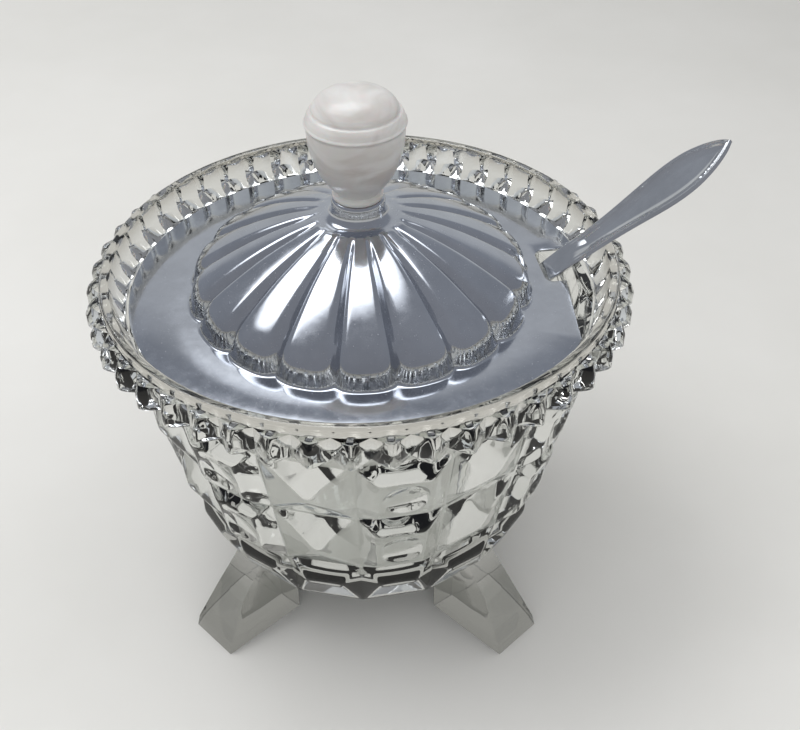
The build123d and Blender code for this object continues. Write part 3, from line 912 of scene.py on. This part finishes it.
def floor_material():
    # Pale floor with painted shade that greys it towards the back right; glass and metal see some of its
    # plain colour
    material, nodes, links, shader = new_material("pale_floor")
    cloud = noise_node(nodes, links, 5.0, 5.0)
    # Painted shade: the colour darkens towards the back right, where the light falls off
    place = nodes.new("ShaderNodeTexCoord")
    away = nodes.new("ShaderNodeVectorMath")
    away.operation = "DOT_PRODUCT"
    away.inputs[1].default_value = (0.55, 0.83, 0.0)
    links.new(place.outputs["Object"], away.inputs[0])
    shade = nodes.new("ShaderNodeMapRange")
    shade.interpolation_type = "SMOOTHSTEP"
    shade.inputs["From Min"].default_value = -0.10
    shade.inputs["From Max"].default_value = 0.55
    shade.inputs["To Min"].default_value = 1.0
    shade.inputs["To Max"].default_value = 0.72
    links.new(away.outputs["Value"], shade.inputs["Value"])
    stops = [(0.35, (0.68, 0.675, 0.65, 1)), (0.65, (0.74, 0.735, 0.715, 1))]
    colour = ramp_node(nodes, links, cloud.outputs["Fac"], stops)
    painted_falloff_colour = nodes.new("ShaderNodeVectorMath")
    painted_falloff_colour.operation = "SCALE"
    links.new(colour.outputs["Color"], painted_falloff_colour.inputs[0])
    links.new(shade.outputs["Result"], painted_falloff_colour.inputs["Scale"])
    links.new(painted_falloff_colour.outputs["Vector"], shader.inputs["Base Color"])
    shader.inputs["Roughness"].default_value = 0.6
    shader.inputs["Specular IOR Level"].default_value = 0.2
    plain = nodes.new("ShaderNodeEmission")
    plain.inputs["Color"].default_value = (0.62, 0.61, 0.58, 1)
    path = nodes.new("ShaderNodeLightPath")
    through = nodes.new("ShaderNodeMath")
    through.operation = "MULTIPLY"
    through.inputs[1].default_value = 0.3
    links.new(path.outputs["Is Transmission Ray"], through.inputs[0])
    seen = nodes.new("ShaderNodeMath")
    seen.operation = "MULTIPLY_ADD"
    seen.use_clamp = True
    seen.inputs[1].default_value = 0.5
    links.new(path.outputs["Is Glossy Ray"], seen.inputs[0])
    links.new(through.outputs["Value"], seen.inputs[2])
    mix = nodes.new("ShaderNodeMixShader")
    links.new(seen.outputs["Value"], mix.inputs["Fac"])
    links.new(shader.outputs["BSDF"], mix.inputs[1])
    links.new(plain.outputs["Emission"], mix.inputs[2])
    links.new(mix.outputs["Shader"], nodes["Material Output"].inputs["Surface"])
    return material


def dress(piece, material, body, nodes):
    # Give a piece its material and its body, and hide the nodes it stands in for
    piece.data.materials.clear()
    piece.data.materials.append(material)
    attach(piece, body)
    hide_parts(*nodes)


# Stage, light and camera

floor_reach = 8.0


def stage():
    mesh = bpy.data.meshes.new("floor")
    corners = [(x * floor_reach, y * floor_reach, 0) for x, y in ((-1, -1), (1, -1), (1, 1), (-1, 1))]
    mesh.from_pydata(corners, [], [(0, 1, 2, 3)])
    floor = bpy.data.objects.new("floor", mesh)
    bpy.context.scene.collection.objects.link(floor)
    floor.data.materials.append(floor_material())


def area_light(name, place, target, width, depth, power):
    # A lamp for the object's shadow, which metal and glass don't mirror
    light = bpy.data.lights.new(name, "AREA")
    light.shape = "RECTANGLE"
    light.size = width
    light.size_y = depth
    light.energy = power
    lamp = bpy.data.objects.new(name, light)
    lamp.visible_glossy = False
    lamp.location = place
    lamp.rotation_euler = (Vector(target) - Vector(place)).to_track_quat("-Z", "Y").to_euler()
    bpy.context.scene.collection.objects.link(lamp)


def math_node(nodes, links, operation, *inputs):
    # A maths node whose inputs are sockets or plain numbers
    node = nodes.new("ShaderNodeMath")
    node.operation = operation
    for place, value in zip(node.inputs, inputs):
        if isinstance(value, (int, float)):
            place.default_value = value
        else:
            links.new(value, place)
    return node.outputs["Value"]


def glow(nodes, links, sheet_place, middle, reach, level, edge):
    # A soft bright patch of the ceiling, in the coordinates of a level sheet above the object
    powers = []
    for along, start, width in zip(sheet_place, middle, reach):
        share = math_node(nodes, links, "SUBTRACT", along, start)
        share = math_node(nodes, links, "DIVIDE", share, width)
        share = math_node(nodes, links, "ABSOLUTE", share)
        powers.append(math_node(nodes, links, "POWER", share, 3.0))
    ring = math_node(nodes, links, "ADD", *powers)
    fade = nodes.new("ShaderNodeMapRange")
    fade.interpolation_type = "SMOOTHSTEP"
    fade.inputs["From Min"].default_value = 1.0 + edge
    fade.inputs["From Max"].default_value = 1.0 - edge
    fade.inputs["To Max"].default_value = level
    links.new(ring, fade.inputs["Value"])
    return fade.outputs["Result"]


def world_light():
    # A soft white dome lights the object; metal and glass see a darker room with a bright ceiling
    world = bpy.data.worlds.new("studio")
    bpy.context.scene.world = world
    world.use_nodes = True
    nodes, links = world.node_tree.nodes, world.node_tree.links
    dome = nodes["Background"]
    place = nodes.new("ShaderNodeTexCoord")
    split = nodes.new("ShaderNodeSeparateXYZ")
    links.new(place.outputs["Generated"], split.inputs["Vector"])
    stops = [(0.0, (0.45, 0.45, 0.44, 1)), (0.8, (1.0, 1.0, 1.0, 1))]
    light = ramp_node(nodes, links, split.outputs["Z"], stops)
    links.new(light.outputs["Color"], dome.inputs["Color"])
    # The room is darker towards the front and lighter towards the back
    side = math_node(nodes, links, "MULTIPLY_ADD", split.outputs["Y"], 0.5, 0.5)
    stops = [(0.15, (0.26, 0.27, 0.30, 1)), (0.84, (0.28, 0.30, 0.34, 1))]
    stops += [(0.885, (0.50, 0.52, 0.55, 1)), (1.0, (0.56, 0.58, 0.59, 1))]
    room = ramp_node(nodes, links, side, stops)
    around = nodes.new("ShaderNodeBackground")
    links.new(room.outputs["Color"], around.inputs["Color"])
    up = math_node(nodes, links, "MAXIMUM", split.outputs["Z"], 0.05)
    across = math_node(nodes, links, "DIVIDE", split.outputs["X"], up)
    depth = math_node(nodes, links, "DIVIDE", split.outputs["Y"], up)
    lamp = nodes.new("ShaderNodeBackground")
    lamp.inputs["Color"].default_value = (0.93, 0.96, 1.0, 1)
    sheet_place = (across, depth)
    ceiling = glow(nodes, links, sheet_place, middle=(-0.30, 0.33), reach=(0.58, 0.33), level=3.4, edge=0.9)
    back = glow(nodes, links, sheet_place, middle=(-0.20, 1.13), reach=(0.16, 0.14), level=0.8, edge=0.98)
    links.new(math_node(nodes, links, "ADD", ceiling, back), lamp.inputs["Strength"])
    seen = nodes.new("ShaderNodeAddShader")
    links.new(around.outputs["Background"], seen.inputs[0])
    links.new(lamp.outputs["Background"], seen.inputs[1])
    path = nodes.new("ShaderNodeLightPath")
    mix = nodes.new("ShaderNodeMixShader")
    links.new(path.outputs["Is Glossy Ray"], mix.inputs["Fac"])
    links.new(dome.outputs["Background"], mix.inputs[1])
    links.new(seen.outputs["Shader"], mix.inputs[2])
    links.new(mix.outputs["Shader"], nodes["World Output"].inputs["Surface"])


# The photograph's camera: focal length and width in pixels, place in metres and turn in degrees
camera_focal = 1167.642
camera_width = 800
camera_place = (0.010605, -0.207195, 0.222940)
camera_turn = (50.8017, 0.4059, 0.3125)
sensor_width = 36.0


def camera():
    data = bpy.data.cameras.new("camera")
    data.sensor_width = sensor_width
    data.lens = sensor_width * camera_focal / camera_width
    eye = bpy.data.objects.new("camera", data)
    eye.location = camera_place
    eye.rotation_euler = [math.radians(angle) for angle in camera_turn]
    bpy.context.scene.collection.objects.link(eye)
    bpy.context.scene.camera = eye
    data.clip_start = 0.01


stage()
world_light()
area_light("overhead", place=(-0.35, 0.10, 0.9), target=(0, 0, 0.05), width=0.6, depth=0.4, power=3.0)
camera()

jar = jar_body()
recalculate_normals(jar)
for k in range(foot_count):
    union(jar, jar_foot(math.radians(first_foot_turn + 360 / foot_count * k)))
jar.name = "jar_glass"
jar.data.shade_smooth()
jar.data.set_sharp_from_angle(angle=math.radians(jar_sharp_angle))
lid_chrome = chrome_material("lid_chrome", (0.60, 0.62, 0.66), haze_low=0.10, haze_high=0.20, dust=0.2)
spoon_chrome = chrome_material("spoon_chrome", (0.72, 0.73, 0.74), haze_low=0.08, haze_high=0.15, dust=0.12)
dress(jar, glass_material(), "jar", ["glass_jar"])
dress(lid_shell(), lid_chrome, "lid", ["lid", "lid_margin"])
dress(knob_turned(), pearl_material(), "lid", ["knob"])
dress(spoon_loft(), spoon_chrome, "spoon", ["spoon"])
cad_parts["knob_screw"].data.materials.clear()
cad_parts["knob_screw"].data.materials.append(steel_material())

scene = bpy.context.scene
scene.view_settings.view_transform = "Standard"
